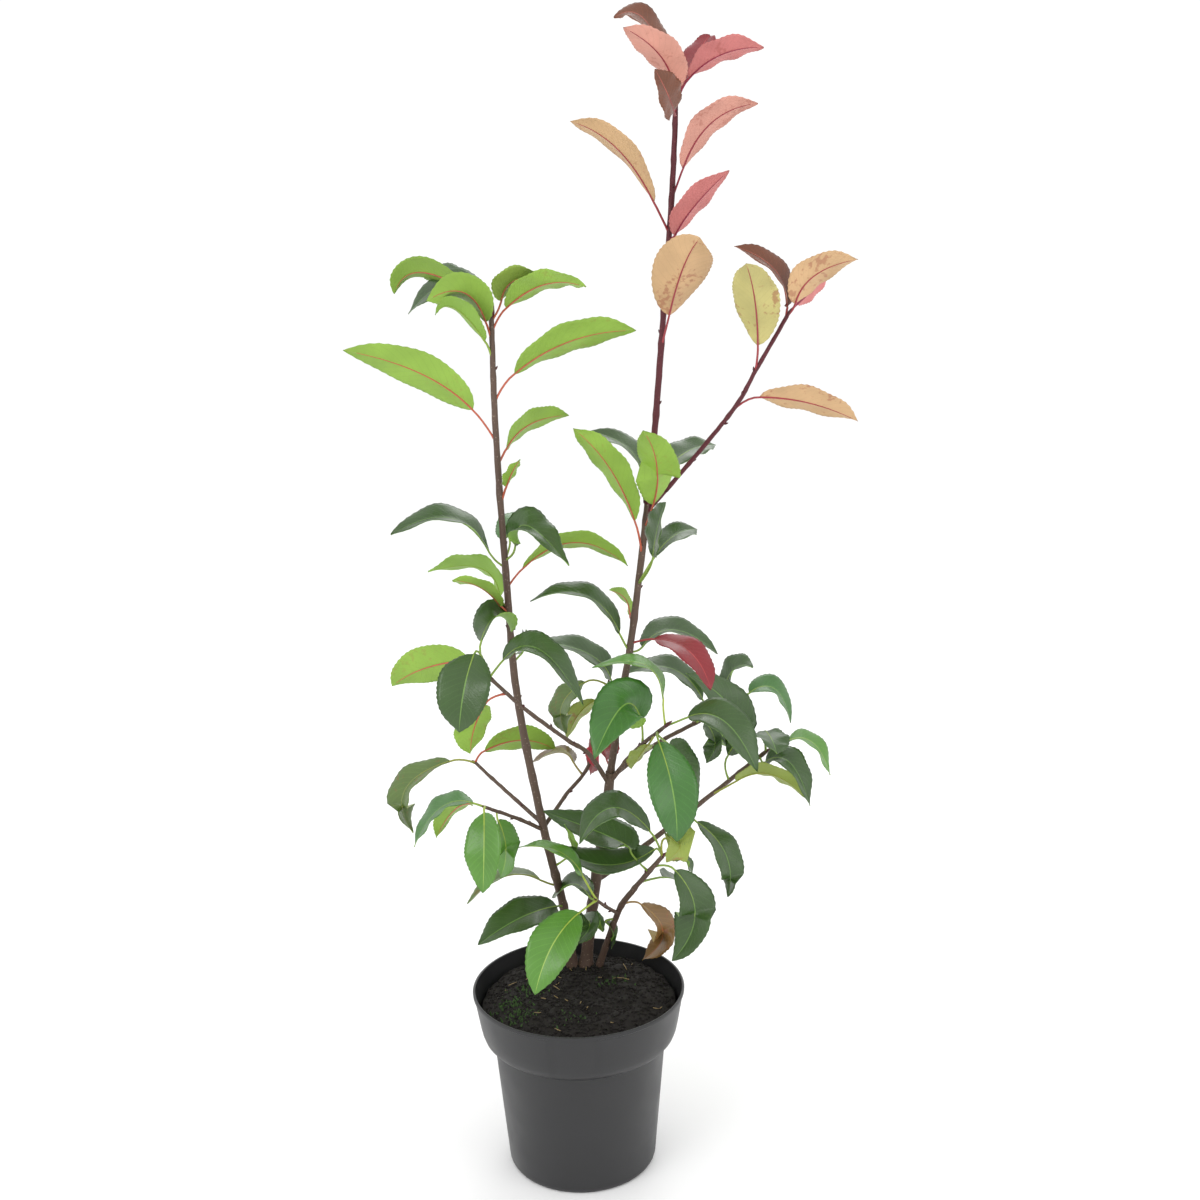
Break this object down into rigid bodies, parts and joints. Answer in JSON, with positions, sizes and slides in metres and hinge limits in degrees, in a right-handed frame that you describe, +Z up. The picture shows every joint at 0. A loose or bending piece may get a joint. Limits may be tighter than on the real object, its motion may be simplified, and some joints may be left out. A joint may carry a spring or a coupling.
{
  "type": "potted photinia shrub",
  "caption": "Young evergreen shrub with upright stems, forked boughs and separate sprays of long leaves, red at the top, in a plain round plastic nursery pot.",
  "frame": {"origin": "centre of the pot's flat underside", "axes": "+Z up the plant; the pictured side faces -Y, with +X to its right"},
  "size_m": [0.4201, 0.2405, 0.9953],
  "materials": {
    "pot_plastic": "satin moulded black plastic",
    "potting_mix": "dark damp crumbly mix with moss",
    "bark": "thin grey-brown bark with small pale pores",
    "red_bark": "smooth dark red young bark",
    "leaf": "glossy leathery green leaf, paler beneath",
    "young_leaf": "young leaf, red-brown above and pink beneath"
  },
  "bodies": {
    "root": {"pot": "pot_plastic", "soil": "potting_mix", "stem_left": "bark", "trunk": "bark", "leader": "bark", "side_shoot": "red_bark", "bough_left": "bark", "bough_front": "bark", "bough_back": "bark", "bough_right": "bark", "stem_front": "bark", "twig_front": "bark", "twig_left_back": "bark", "twig_left_front": "bark", "twig_back": "bark", "foliage_left_top": "leaf", "foliage_left_west": "leaf", "foliage_left_east": "leaf", "foliage_left_back": "leaf", "foliage_left_middle": "leaf", "foliage_left_inner": "leaf", "foliage_left_outer": "leaf", "foliage_left_rear": "leaf", "foliage_left_near": "leaf", "foliage_bough_left": "leaf", "foliage_bough_left_low": "leaf", "foliage_twig_left_back": "leaf", "foliage_twig_left_front": "leaf", "foliage_twig_back": "leaf", "foliage_low_west": "leaf", "foliage_low_near": "leaf", "foliage_twig_front": "leaf", "foliage_stem_front": "leaf", "foliage_front_right": "leaf", "foliage_low_right": "leaf", "foliage_fork_front": "leaf", "foliage_leader_near": "leaf", "foliage_leader_far": "leaf", "foliage_bough_back_inner": "leaf", "foliage_bough_front": "leaf", "foliage_bough_back": "leaf", "foliage_bough_right_up": "leaf", "foliage_bough_right": "leaf", "foliage_bough_right_low": "leaf", "foliage_leader_west": "leaf", "foliage_leader_back": "leaf", "foliage_leader_front": "leaf", "foliage_leader_east": "leaf", "foliage_leader_pair": "leaf", "foliage_leader_low": "leaf", "foliage_leader_top": "young_leaf", "foliage_upper_west": "young_leaf", "foliage_upper_east": "young_leaf", "foliage_upper_near": "young_leaf", "foliage_upper_front": "young_leaf", "foliage_shoot_top": "young_leaf", "foliage_shoot_front": "young_leaf", "foliage_shoot_east": "young_leaf"}
  },
  "joints": []
}
